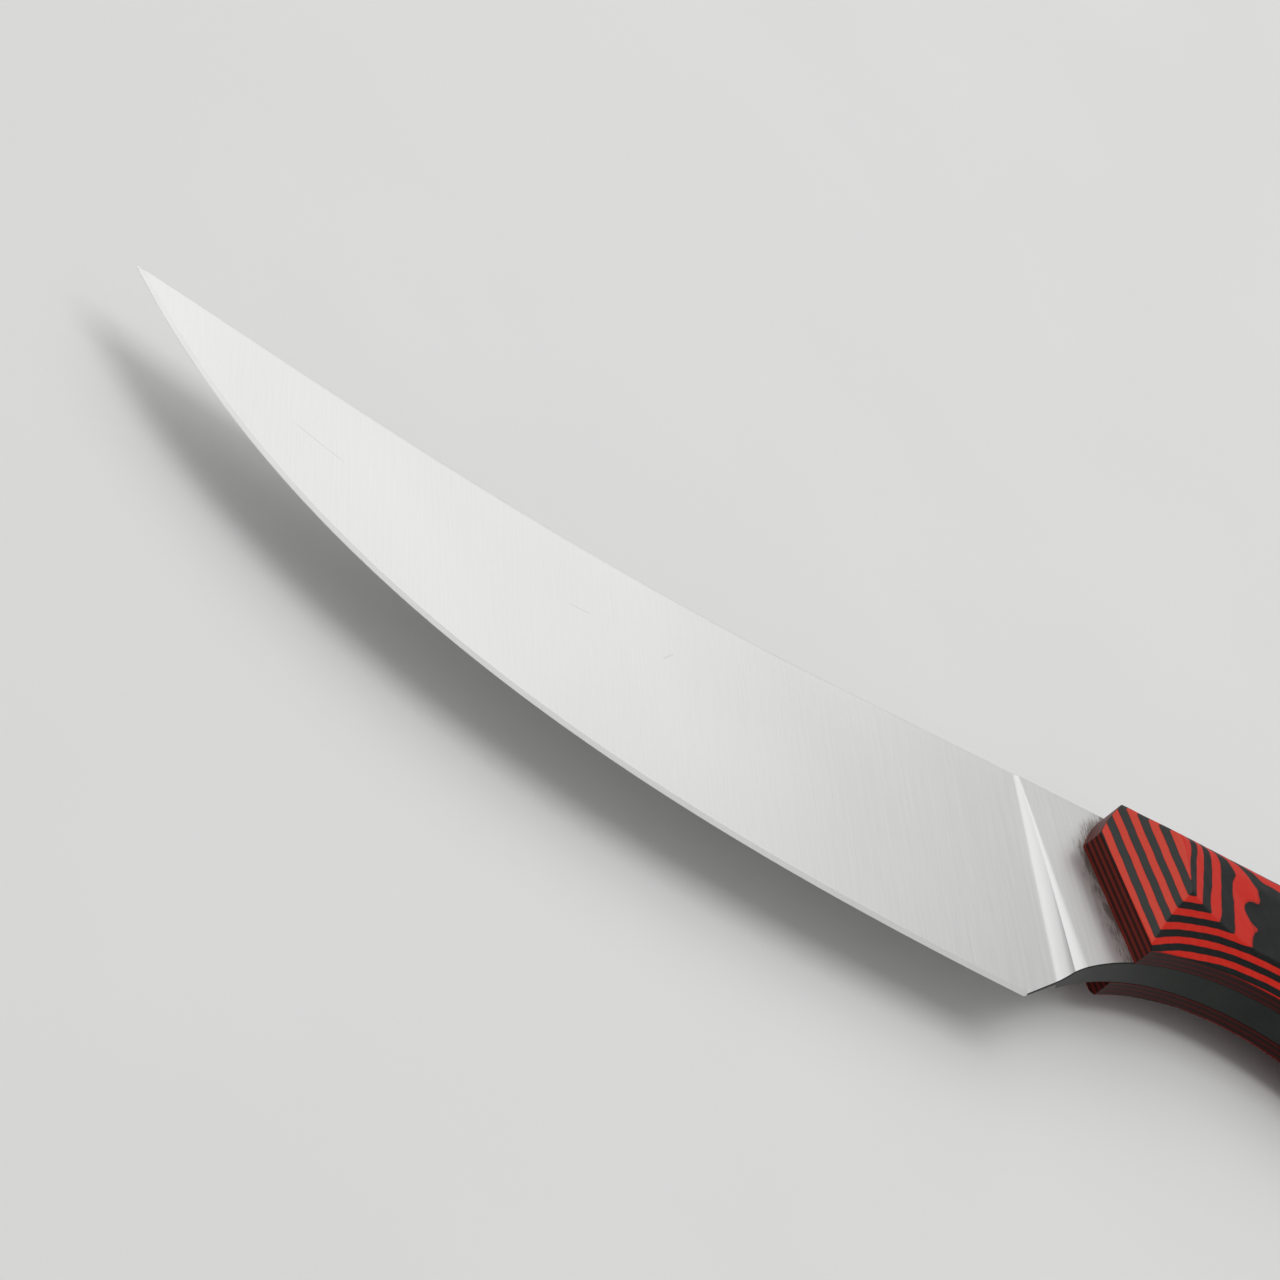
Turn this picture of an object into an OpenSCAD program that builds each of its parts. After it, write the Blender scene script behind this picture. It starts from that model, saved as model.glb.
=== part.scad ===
// Kitchen knife with a full tang, ground blade and scales of bonded red and black sheets.
// It lies on its right side: +X runs from the tip to the butt, +Y from the edge to the spine
// and +Z up, towards the knife's left face. The origin is the middle of its box, on the bottom.
// Heights in the handle are measured from the tang's face, and both scales are alike, mirrored.

/* [Blade] */
// Length from the heel's corner to the tip, along the spine
blade_len = 141.3; // [110:1:180]
// Depth from the spine to the heel's corner
blade_h = 40.2; // [36:0.1:48]
// Thickness of the steel in the spine and the tang
steel_t = 4.7; // [4.5:0.1:6]
// Straight part of the spine, ahead of the heel
straight_spine = 28; // [10:0.1:60]
// How far the tip sweeps up above the straight spine
tip_rise = 16; // [6:0.1:22]
// Reach of the edge curve's flat start at the heel
heel_reach = 71.7; // [50:0.1:85]
// Angle at which the edge leaves the heel, in degrees
heel_angle = 1.9; // [0:0.1:5]
// Reach of the edge curve's steep end at the tip
tip_reach = 45.9; // [25:0.1:60]
// Angle at which the edge meets the tip, in degrees
tip_angle = 64.7; // [50:0.1:75]
// Width of the flat left along the cutting edge
edge_t = 0.1; // [0.06:0.01:0.2]
// Thickness that the grind leaves at the spine
spine_t = 4.4; // [2.6:0.1:4.6]
// Thickness of the steel where the cutting bevel begins
shoulder_t = 0.5; // [0.3:0.05:0.8]
// Width of the cutting bevel
bevel_w = 0.8; // [0.4:0.1:1.5]
// Distance from the heel's corner back to the end of the flat grind
plunge_back = 6.1; // [3:0.1:9]
// Radius left by the grinding wheel where the grind ends
plunge_r = 3.4; // [3:0.1:8]
// How much deeper than the flat grind the wheel bites there
plunge_bite = 0.02; // [0.01:0.01:0.05]

/* [Handle outline] */
// Distance from the heel's corner back to the foremost point of the scales
ricasso_len = 17.4; // [15:0.1:26]
// Length of the handle, from the scales' foremost point to the butt
handle_len = 120; // [110:1:135]
// Depth of the handle at its waist
waist_h = 22.3; // [20:0.1:25]
// Distance of the waist behind the scales' foremost point
waist_x = 28.4; // [25:0.1:32]
// Radius of the waist's hollow
waist_r = 64.5; // [58:0.1:66]
// Depth of the handle at the palm
palm_h = 30; // [28:0.1:32]
// Radius of the swell between the waist and the palm
palm_r = 60; // [40:1:70]

/* [Scales] */
// Thickness of one bonded sheet
ply_t = 0.45; // [0.35:0.01:0.6]
// Sheets in each scale, an odd number so that the first and last are red
plies = 17; // [13:2:19]
// Distance of the scales' foremost point below the spine
apex_drop = 8.1; // [5:0.1:11]
// How far the front wall falls back from that point up to the spine
top_lead = 6.5; // [3:0.1:9]
// Radius of the front wall's bulge on the way up
top_wall_r = 27; // [20:0.5:60]
// Lean of the front wall below that point, in degrees
front_lean = 15; // [8:0.5:22]
// Height of the front wall at the foremost point
front_ridge = 3.54; // [2.5:0.01:4.5]
// Rise of the facet behind the front wall, in degrees
front_slope = 18.5; // [15:0.5:24]
// Turn of that facet towards the spine, in degrees
front_turn = 13; // [5:0.5:20]
// Height of the wall along the spine
top_ridge = 3.4; // [2.5:0.1:4.5]
// Rise of the facet along the spine, in degrees
top_slope = 37; // [30:0.5:45]
// Height of the wall in the waist
waist_ridge = 2.2; // [1.5:0.1:3]
// Rise of the facets along the underside, in degrees
under_slope = 27.3; // [22:0.1:35]
// Radius of the waist's facet where it meets the wall
under_r = 48; // [42:0.1:54]
// Distance of that facet's centre behind the foremost point
under_x = 29.6; // [26:0.1:33]
// Height of the wall below the palm
palm_ridge = 3; // [2:0.1:4]
// Height of the wall at the butt
butt_ridge = 3.2; // [2:0.1:4.5]
// Rise of the facet ahead of the butt, in degrees
butt_slope = 12; // [9:0.5:20]

/* [Thumb scoop] */
// Radius of the scoop across the handle
scoop_r = 65.7; // [55:0.1:80]
// Distance of the scoop's lowest line behind the foremost point
scoop_x = 34; // [31:0.1:37]
// Height of the scoop's lowest line
scoop_floor = 4.43; // [3.9:0.01:5]
// Turn of the scoop from square across the handle, in degrees
scoop_turn = 17.1; // [10:0.1:25]
// Radius of the second pass, which eases the scoop towards the spine
ease_r = 63; // [50:1:80]
// Distance of the second pass behind the foremost point
ease_x = 27.6; // [25:0.1:30]
// Height of the second pass, level with the foremost point
ease_floor = 5.28; // [5:0.01:6]
// Turn of the second pass, in degrees
ease_turn = 32.5; // [25:0.5:40]
// Fall of the second pass towards the spine, in degrees
ease_tilt = 8.5; // [6:0.1:11]

/* [Pins] */
// Diameter of the pins through the scales and the tang
pin_d = 5; // [3:0.1:6]
// Glue line between a pin and its bore
pin_fit = 0.02; // [0.01:0.01:0.1]
// Distance of the front pin behind the foremost point
front_pin_x = 52; // [46:0.5:60]
// Distance of the rear pin ahead of the butt
rear_pin_back = 28; // [24:0.5:36]
// Distance of the pins below the spine
pin_drop = 14; // [12:0.1:16]

/* [Hidden] */
$fn = 128;
function ply_name(side, i) = str(side, "_ply_", i < 10 ? "0" : "", i, "_", i % 2 == 1 ? "red" : "black");

// Overrun of the cuts
over = 1;
// Steps along the edge's curve and along the spine's sweep
edge_steps = 40;
spine_steps = 16;

// Places along the knife, from the foremost point of the scales, and up from the spine's line
heel = [-ricasso_len, -blade_h];
tip = [-ricasso_len - blade_len, tip_rise];
sweep_x = -ricasso_len - straight_spine;
sweep_r = (pow(sweep_x - tip[0], 2) + pow(tip_rise, 2)) / (2 * tip_rise);
plunge_x = -ricasso_len + plunge_back;

half_t = steel_t / 2;
scale_t = plies * ply_t;
total_t = steel_t + 2 * scale_t;
grind_angle = atan((spine_t - shoulder_t) / 2 / (blade_h - bevel_w));
bevel_angle = atan((shoulder_t - edge_t) / 2 / bevel_w);

waist_c = [waist_x, -waist_h - waist_r];
butt_r = palm_h / 2;
butt_c = [handle_len - butt_r, -butt_r];
palm_c = [
    waist_x + sqrt(pow(waist_r + palm_r, 2) - pow(palm_r - palm_h - waist_c[1], 2)),
    palm_r - palm_h
];
palm_meet = waist_c + (palm_c - waist_c) * waist_r / (waist_r + palm_r);

rear_pin_x = handle_len - rear_pin_back;
// The front wall's width between the foremost point and the spine
top_wall = norm([top_lead, apex_drop]);

// The choil's straight part leaves the heel's corner and touches the waist's circle
heel_to_waist = waist_c - heel;
choil_len = sqrt(heel_to_waist * heel_to_waist - pow(waist_r, 2));
choil_angle = atan2(heel_to_waist[1], heel_to_waist[0]) + atan(waist_r / choil_len);
choil_end = heel + choil_len * [cos(choil_angle), sin(choil_angle)];

// The edge is one cubic curve from the heel to the tip
edge_arms = [
    heel,
    heel + heel_reach * [-cos(heel_angle), sin(heel_angle)],
    tip + tip_reach * [cos(tip_angle), -sin(tip_angle)],
    tip
];
function edge_point(t) =
    pow(1 - t, 3) * edge_arms[0] + 3 * t * pow(1 - t, 2) * edge_arms[1]
    + 3 * t * t * (1 - t) * edge_arms[2] + pow(t, 3) * edge_arms[3];
function edge_run(t) =
    pow(1 - t, 2) * (edge_arms[1] - edge_arms[0]) + 2 * t * (1 - t) * (edge_arms[2] - edge_arms[1])
    + t * t * (edge_arms[3] - edge_arms[2]);
function spine_y(x) = x > sweep_x ? 0 : sweep_r - sqrt(pow(sweep_r, 2) - pow(x - sweep_x, 2));

// One slice of the steel that the grind takes off: where it is, the edge's depth there
// and how much longer than the bevel's width the bevel is along the slice
function grind_slice(x, edge_y, stretch) =
    let (
        low_y = edge_y - over,
        shoulder_y = edge_y + bevel_w * stretch,
        top_y = tip_rise + bevel_w / cos(tip_angle) + over,
        low_z = edge_t / 2 - over / stretch * tan(bevel_angle),
        top_z = shoulder_t / 2 + (top_y - shoulder_y) * tan(grind_angle),
        high_z = half_t + over + (top_y + blade_h) * tan(grind_angle)
    )
    [
        [x, low_y, low_z],
        [x, shoulder_y, shoulder_t / 2],
        [x, top_y, top_z],
        [x, top_y, high_z],
        [x, low_y, high_z]
    ];

function edge_slice(t, past = 0) =
    let (p = edge_point(t), run = edge_run(t))
    grind_slice(p[0] - past, p[1], norm(run) / abs(run[0]));

module blade_outline() {
    cutting_edge = [for (i = [edge_steps : -1 : 0]) edge_point(i / edge_steps)];
    sweep_step = (sweep_x - tip[0]) / spine_steps;
    sweep = [for (i = [0 : spine_steps - 1]) let (x = sweep_x - i * sweep_step) [x, spine_y(x)]];
    difference() {
        union() {
            polygon(concat(cutting_edge, [
                [waist_x, -blade_h],
                [waist_x, -palm_h],
                [butt_c[0], -palm_h],
                [butt_c[0], 0]
            ], sweep));
            translate(butt_c) circle(butt_r);
        }
        underside();
    }
}

module handle_outline() {
    difference() {
        union() {
            translate([0, -palm_h]) square([butt_c[0], palm_h]);
            translate(butt_c) circle(butt_r);
        }
        underside();
    }
}

// What is cut from below the choil, the waist and the swell ahead of the palm
module underside() {
    translate(waist_c) circle(waist_r);
    polygon([
        heel,
        choil_end,
        [choil_end[0], heel[1] - over],
        [heel[0], heel[1] - over]
    ]);
    difference() {
        polygon([
            palm_meet,
            [palm_c[0], palm_meet[1]],
            [palm_c[0], -palm_h - over],
            [palm_meet[0], -palm_h - over]
        ]);
        translate(palm_c) circle(palm_r);
    }
}

// The steel above the flat grind and the cutting bevel on one side
module grind_cut() {
    slices = concat(
        [grind_slice(plunge_x, heel[1], 1)],
        [for (i = [1 : edge_steps]) edge_slice((i - 0.5) / edge_steps)],
        [edge_slice(1, over)]
    );
    last = len(slices) - 1;
    ring = len(slices[0]);
    polyhedron(
        points = [for (s = slices) each s],
        faces = concat(
            [for (k = [0 : ring - 3]) [ring - 1, k + 1, k]],
            [for (k = [0 : ring - 3]) let (a = last * ring) [a + ring - 1, a + k, a + k + 1]],
            [for (i = [0 : last - 1], k = [0 : ring - 1])
                let (a = i * ring + k, b = i * ring + (k + 1) % ring)
                each [[a, b, a + ring], [b, b + ring, a + ring]]]
        )
    );
    translate([plunge_x, heel[1] + bevel_w, shoulder_t / 2])
        rotate([grind_angle, 0, 0])
            translate([0, 0, plunge_r - plunge_bite])
                rotate([90, 0, 0])
                    cylinder(r = plunge_r, h = 3 * blade_h, center = true);
}

// Everything below turns a half space or a round tool onto a scale, above the tang's face
module above(size) {
    translate([-size, -size, 0]) cube([2 * size, 2 * size, size]);
}

module front_walls() {
    translate([0, -apex_drop, -over]) {
        rotate([0, 0, front_lean])
            translate([-handle_len, -handle_len, 0])
                cube([handle_len, handle_len, scale_t + 2 * over]);
        rotate([0, 0, -atan(top_lead / apex_drop)])
            difference() {
                translate([-handle_len, -over, 0])
                    cube([handle_len + over, handle_len, scale_t + 2 * over]);
                translate([sqrt(pow(top_wall_r, 2) - pow(top_wall / 2, 2)), top_wall / 2, -over])
                    cylinder(r = top_wall_r, h = scale_t + 4 * over);
            }
    }
}

module facets() {
    translate([0, -apex_drop, front_ridge])
        rotate([0, 0, front_turn])
            rotate([0, -front_slope, 0])
                above(handle_len);
    translate([0, 0, top_ridge])
        rotate([-top_slope, 0, 0])
            above(2 * handle_len);
    translate([0, -palm_h, palm_ridge])
        rotate([under_slope, 0, 0])
            above(2 * handle_len);
    translate([handle_len, 0, butt_ridge])
        rotate([0, butt_slope, 0])
            above(2 * handle_len);
    translate([under_x, -waist_h - under_r, waist_ridge])
        cylinder(r1 = under_r, r2 = under_r + scale_t / tan(under_slope), h = scale_t);
}

module scoops() {
    translate([scoop_x, -apex_drop, scoop_floor + scoop_r])
        rotate([0, 0, -scoop_turn])
            rotate([90, 0, 0])
                cylinder(r = scoop_r, h = handle_len, center = true);
    translate([ease_x, -apex_drop, ease_floor])
        rotate([0, 0, -ease_turn])
            rotate([-ease_tilt, 0, 0])
                translate([0, 0, ease_r])
                    rotate([90, 0, 0])
                        cylinder(r = ease_r, h = handle_len, center = true);
}

module pin_bore(x) {
    translate([x, -pin_drop, 0])
        cylinder(d = pin_d + 2 * pin_fit, h = total_t + 2 * over, center = true);
}

// Turns the left side's work into either side's, measured from the tang's face
module on_side(side) {
    mirror([0, 0, side == "left" ? 0 : 1])
        translate([0, 0, half_t])
            children();
}

// Puts the middle of the knife's box over the origin and the right scale on the ground
module place() {
    translate([-(tip[0] + handle_len) / 2, -(tip_rise - blade_h) / 2, total_t / 2])
        children();
}

module blade() {
    color([0.84, 0.83, 0.80])
        place()
            difference() {
                linear_extrude(steel_t, center = true) blade_outline();
                grind_cut();
                mirror([0, 0, 1]) grind_cut();
                pin_bore(front_pin_x);
                pin_bore(rear_pin_x);
            }
}

module ply(side, i) {
    color(i % 2 == 1 ? [0.68, 0.24, 0.19] : [0.2, 0.19, 0.19])
        place()
            difference() {
                on_side(side)
                    difference() {
                        translate([0, 0, (i - 1) * ply_t])
                            linear_extrude(ply_t)
                                handle_outline();
                        front_walls();
                        facets();
                        scoops();
                    }
                pin_bore(front_pin_x);
                pin_bore(rear_pin_x);
            }
}

// A pin is ground flush with both scales
module pin(x) {
    color([0.75, 0.75, 0.73])
        place()
            difference() {
                translate([x, -pin_drop, 0])
                    cylinder(d = pin_d, h = total_t, center = true);
                for (side = ["left", "right"])
                    on_side(side) {
                        facets();
                        scoops();
                    }
            }
}

blade();
for (side = ["left", "right"], i = [1 : plies])
    ply(side, i);
pin(front_pin_x);  // front_pin
pin(rear_pin_x);  // rear_pin
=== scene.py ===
import math

import bmesh
import bpy
import numpy as np
from mathutils import Matrix, Vector


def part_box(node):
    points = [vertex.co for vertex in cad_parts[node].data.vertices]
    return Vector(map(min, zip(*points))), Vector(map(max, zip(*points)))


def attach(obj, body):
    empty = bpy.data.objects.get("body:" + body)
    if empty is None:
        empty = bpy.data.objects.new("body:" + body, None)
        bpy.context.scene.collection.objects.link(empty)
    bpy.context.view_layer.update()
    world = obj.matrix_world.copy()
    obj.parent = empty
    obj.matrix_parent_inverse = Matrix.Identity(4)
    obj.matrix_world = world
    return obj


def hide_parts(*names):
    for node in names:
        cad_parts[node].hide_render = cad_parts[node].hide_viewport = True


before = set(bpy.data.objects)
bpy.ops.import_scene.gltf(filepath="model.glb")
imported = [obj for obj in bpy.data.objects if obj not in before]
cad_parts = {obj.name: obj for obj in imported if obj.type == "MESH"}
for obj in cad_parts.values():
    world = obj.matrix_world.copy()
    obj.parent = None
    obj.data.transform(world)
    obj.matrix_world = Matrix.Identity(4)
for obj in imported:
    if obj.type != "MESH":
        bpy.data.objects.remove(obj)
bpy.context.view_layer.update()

print("frame loaded:", len(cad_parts), "nodes")

mm = 0.001
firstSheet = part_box("left_ply_01_red")
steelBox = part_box("blade")

# The knife's own origin: the foremost point of the scales along X, the spine in Y, mid-steel in Z
knifeOrigin = Vector((firstSheet[0].x, firstSheet[1].y, (steelBox[0].z + steelBox[1].z) / 2))


def inKnife(corner):
    # a point of the frame, in millimetres from the knife's origin
    return (corner - knifeOrigin) / mm


tip = inKnife(Vector((steelBox[0].x, steelBox[1].y, knifeOrigin.z)))
heelDepth = inKnife(steelBox[0]).y
handleLength = inKnife(firstSheet[1]).x
palmDepth = -inKnife(firstSheet[0]).y
halfSteel = (steelBox[1].z - steelBox[0].z) / 2 / mm


def turned(angle):
    # cosine and sine of an angle in degrees
    a = math.radians(angle)
    return np.array((math.cos(a), math.sin(a)))


# A socket that can stand in a sum: each operation adds its Math node
class Value:
    def __init__(self, finish, socket):
        self.finish = finish
        self.socket = socket

    def math(self, operation, *others):
        inputs = dict(enumerate((self,) + others))
        return self.finish.node("ShaderNodeMath", {"operation": operation}, inputs)

    def __add__(self, other):
        return self.math("ADD", other)

    def __sub__(self, other):
        return self.math("SUBTRACT", other)

    def __mul__(self, other):
        return self.math("MULTIPLY", other)

    def __rsub__(self, other):
        return (self * -1) + other

    __radd__ = __add__
    __rmul__ = __mul__

    def size(self):
        return self.math("ABSOLUTE")

    def least(self, other):
        return self.math("MINIMUM", other)

    def most(self, other):
        return self.math("MAXIMUM", other)

    # 0 below low, 1 above high and smooth between them; low above high turns it round
    def ramp(self, low, high):
        inputs = {"Value": self, "From Min": low, "From Max": high}
        return self.finish.node("ShaderNodeMapRange", {"interpolation_type": "SMOOTHSTEP"}, inputs)


# A material under construction: node() adds any node, and dress() adds the surface
class Finish:
    def __init__(self, name):
        self.material = bpy.data.materials.new(name)
        self.material.use_nodes = True
        self.tree = self.material.node_tree
        self.tree.nodes.clear()

    def node(self, kind, settings=None, inputs=None, output=0):
        made = self.tree.nodes.new(kind)
        for key, value in (settings or {}).items():
            setattr(made, key, value)
        for key, value in (inputs or {}).items():
            if isinstance(value, Value):
                self.tree.links.new(value.socket, made.inputs[key])
            else:
                made.inputs[key].default_value = value
        return Value(self, made.outputs[output] if made.outputs else None)

    # the place on the piece in millimetres from the knife's origin
    def place(self):
        point = self.node("ShaderNodeTexCoord", output="Object")
        shift = tuple(-knifeOrigin / mm)
        inputs = {"Vector": point, "Location": shift, "Scale": (1 / mm,) * 3}
        return self.node("ShaderNodeMapping", {"vector_type": "POINT"}, inputs)

    def parts(self, vector):
        split = self.node("ShaderNodeSeparateXYZ", inputs={"Vector": vector})
        return [Value(self, s) for s in split.socket.node.outputs]

    def attribute(self, name):
        return self.node("ShaderNodeAttribute", {"attribute_name": name}, output="Fac")

    # noise from 0 to 1 at a place given by its three parts, with its grain per millimetre in each
    def noise(self, place, grain, detail=2.0, roughness=0.5):
        scaled = [part * size for part, size in zip(place, grain)]
        vector = self.node("ShaderNodeCombineXYZ", inputs=dict(enumerate(scaled)))
        inputs = {"Vector": vector, "Scale": 1.0, "Detail": detail, "Roughness": roughness}
        return self.node("ShaderNodeTexNoise", inputs=inputs)

    def mix(self, factor, one, other):
        settings = {"data_type": "RGBA", "clamp_factor": True}
        made = self.node("ShaderNodeMix", settings, {0: factor}).socket.node
        for key, value in ((6, one), (7, other)):
            if isinstance(value, Value):
                self.tree.links.new(value.socket, made.inputs[key])
            else:
                made.inputs[key].default_value = (*value, 1.0)
        return Value(self, made.outputs[2])

    def bump(self, height, strength, distance):
        inputs = {"Height": height, "Strength": strength, "Distance": distance * mm}
        return self.node("ShaderNodeBump", inputs=inputs)

    def dress(self, inputs):
        shader = self.node("ShaderNodeBsdfPrincipled", inputs=inputs)
        self.node("ShaderNodeOutputMaterial", inputs={"Surface": shader})
        return self.material


def newPiece(name, points, faces, materials):
    # points in millimetres from the knife's origin become a mesh in the frame's metres
    mesh = bpy.data.meshes.new(name)
    mesh.from_pydata((points * mm + np.array(knifeOrigin)).tolist(), [], faces)
    mesh.update()
    piece = bpy.data.objects.new(name, mesh)
    bpy.context.scene.collection.objects.link(piece)
    for material in materials:
        mesh.materials.append(material)
    return piece


cameraView = {
    "place": (-436.3, -438.4, 323.75),     # millimetres from the knife's origin
    "right": (0.7479, -0.1303, 0.6509),
    "back": (-0.552, -0.6667, 0.5008),
    "lens": 140.625,
    "sensor": 36.0,
    "nearest": 0.01,                       # metres
}


def makeCamera(view):
    back = Vector(view["back"]).normalized()
    right = Vector(view["right"])
    right = (right - right.dot(back) * back).normalized()
    up = back.cross(right)
    camera = bpy.data.objects.new("camera", bpy.data.cameras.new("camera"))
    turn = Matrix((right, up, back)).transposed().to_4x4()
    camera.matrix_world = Matrix.Translation(Vector(view["place"]) * mm + knifeOrigin) @ turn
    camera.data.lens = view["lens"]
    camera.data.sensor_width = view["sensor"]
    camera.data.clip_start = view["nearest"]
    bpy.context.scene.collection.objects.link(camera)
    bpy.context.scene.camera = camera


makeCamera(cameraView)
print("camera placed")


# The front of the scales, which the finishes follow too: millimetres and degrees
scaleFront = {
    "apexDrop": 8.1,           # depth of the foremost point below the spine
    "topLead": 6.5,            # how far behind that point the upper wall meets the spine
    "wallLean": 15.0,          # lean of the flat lower wall
    "ridge": 3.54,             # height of the front facet above the tang at the foremost point
    "slope": 18.5,             # slope of the front facet
    "turn": 13.0,              # angle between that slope and the knife's length
}


def frontFacet(x, y):
    # ridge + tan(slope) * (x * cos(turn) + level * sin(turn)), for arrays and shader values alike
    c, s = turned(scaleFront["turn"])
    run = x * c + (y + scaleFront["apexDrop"]) * s
    return run * math.tan(math.radians(scaleFront["slope"])) + scaleFront["ridge"]


def wallGap(x, y):
    # how far a place on the steel is ahead of the scales' two front walls, as a shader value
    level = y + scaleFront["apexDrop"]
    lower = level * -math.tan(math.radians(scaleFront["wallLean"]))
    upper = level * (scaleFront["topLead"] / scaleFront["apexDrop"])
    return lower.most(upper) - x


steelLook = {
    "pale": (0.86, 0.86, 0.855),
    "dark": (0.725, 0.725, 0.72),
    "roughness": 0.36,
    "nearWall": 0.26,           # how much rougher the steel is against the scales
    "wallReach": 4.5,           # how far ahead of the scales that ends
    "leanAtApex": -0.0357,      # tangent of the lines' lean at the scales, and its change per mm
    "leanPerMm": -0.000957,
    "fine": (7.0, 0.12, 0.12),  # grain per millimetre along, across and through the blade
    "broad": (1.6, 0.035, 0.035),
    "drift": (0.03, 0.03, 0.03),
    "streaks": (3.5, 0.45, 0.45),
    "patches": (0.55, 0.3, 0.3),
    # brownish grey of the scratches and of the painted shade beside the scales
    "smudgeAndShade": (0.26, 0.225, 0.19),
    "smudgeAndShadeFade": 0.06,         # how much the painted shade fades for each millimetre ahead of the scales
    "scratches": [              # start, length, direction in degrees and width
        (-136.5, 0.5, 9.0, -21.4, 0.08),
        (-93.2, -8.8, 4.1, 0.0, 0.07),
        (-77.4, -10.8, 3.2, 43.0, 0.07),
    ],
}


def scratchMask(x, y, startX, startY, length, turn, width):
    # 1 along a slightly wavy line and 0 beside it, thinner towards both ends
    c, s = turned(turn)
    run = (x - startX) * c + (y - startY) * s
    aside = (y - startY) * c - (x - startX) * s + (run * 0.35).math("SINE") * 0.12
    return aside.size().ramp(width, 0.0) * (run - length / 2).size().ramp(length / 2, length / 3)


def satinSteel(look):
    # fine lines square to the spine, a broad drift of tone, a few scratches and painted shade in streaks
    # beside the scales
    finish = Finish("satin_steel")
    x, y, z = place = finish.parts(finish.place())
    lines = (x - y * (x * look["leanPerMm"] + look["leanAtApex"]), y, z)
    fine = finish.noise(lines, look["fine"], 3.0, 0.65)
    broad = finish.noise(lines, look["broad"], 2.0)
    drift = finish.noise(place, look["drift"], 1.0)
    tone = fine * 0.45 + broad * 0.35 + drift * 0.3
    colour = finish.mix(tone.ramp(0.25, 0.85), look["dark"], look["pale"])
    for scratch in look["scratches"]:
        colour = finish.mix(scratchMask(x, y, *scratch) * 0.45, colour, look["smudgeAndShade"])
    gap = wallGap(x, y)
    # painted shade: streaks darker towards the scales' front walls
    streaks = finish.noise(lines, look["streaks"], 4.0, 0.7)
    patches = finish.noise(place, look["patches"], 2.0)
    smudgeAndShade = (streaks * 0.6 + patches * 0.6 - gap * look["smudgeAndShadeFade"]).ramp(0.45, 0.66)
    colour = finish.mix(smudgeAndShade * 0.75, colour, look["smudgeAndShade"])
    uneven = (broad - 0.5) * 0.12 + (fine - 0.5) * 0.1
    return finish.dress({
        "Base Color": colour,
        "Metallic": 1.0,
        "Roughness": uneven + gap.ramp(look["wallReach"], 0.0) * look["nearWall"] + look["roughness"],
        "Normal": finish.bump(fine + broad, 0.25, 0.02),
    })


spineLook = {
    "pale": (0.84, 0.84, 0.83),
    "dark": (0.62, 0.62, 0.61),
    "roughness": 0.3,
    "lines": (0.25, 3.0, 9.0),      # grain per millimetre along, across and through the knife
    "drift": (0.15, 0.15, 0.15),
}
pinLook = {**spineLook, "lines": (0.4, 8.0, 8.0)}
bevelLook = {
    "pale": (0.97, 0.97, 0.96),
    "dark": (0.91, 0.91, 0.90),
    "roughness": 0.45,
    "lines": (9.0, 0.4, 0.4),
    "drift": (0.15, 0.15, 0.15),
}
underShadeLook = {                       # the tang's underside, which the photo shows nearly black: painted shade
    "pale": (0.036, 0.042, 0.038),
    "dark": (0.020, 0.024, 0.022),
    "roughness": 0.45,
    "lines": (0.5, 2.0, 7.0),
    "drift": (0.15, 0.15, 0.15),
}


def groundEdge(name, look):
    # short grinding lines over a slow drift of tone
    finish = Finish(name)
    place = finish.parts(finish.place())
    lines = finish.noise(place, look["lines"], 3.0, 0.6)
    drift = finish.noise(place, look["drift"], 2.0)
    colour = finish.mix((lines * 0.7 + drift * 0.5).ramp(0.3, 0.9), look["dark"], look["pale"])
    return finish.dress({
        "Base Color": colour,
        "Metallic": 1.0,
        "Roughness": (lines - 0.5) * 0.16 + look["roughness"],
        "Normal": finish.bump(lines, 0.3, 0.02),
    })


clothLook = {
    "mottle": (1.1, 1.1, 1.1),     # grain per millimetre along, across and through the sheet
    "fibre": (5.5, 5.5, 9.0),
    "weave": 14.0,                 # radians per millimetre
    "glueShare": 0.10,             # of a sheet's thickness, at each face
    "hazeAndSheenReach": 0.12,             # how far from the front facet its haze and painted sheen end
}
redLook = {
    "base": (0.56, 0.014, 0.006),
    "worn": (0.62, 0.048, 0.026),
    "deep": (0.20, 0.010, 0.007),
    # wall and under: painted shade of the cut walls, and darker painted shade of the underside walls
    "wall": (0.20, 0.030, 0.022),
    "under": (0.075, 0.008, 0.006),
    "hazyAndSheen": (0.60, 0.085, 0.055),  # the front facet, sanded less finely, with painted sheen
    "roughness": 0.46,
    "specular": 0.12,
}
blackLook = {
    "base": (0.0055, 0.0065, 0.006),
    "worn": (0.018, 0.020, 0.019),
    "deep": (0.005, 0.005, 0.005),
    # wall and under: painted shading of the cut walls, and near-black painted shade of the underside walls
    "wall": (0.065, 0.016, 0.012),
    "under": (0.022, 0.006, 0.005),
    # the front facet's sanding haze with painted sheen
    "hazyAndSheen": (0.058, 0.062, 0.058),
    "roughness": 0.44,
    "specular": 0.12,
}


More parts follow.
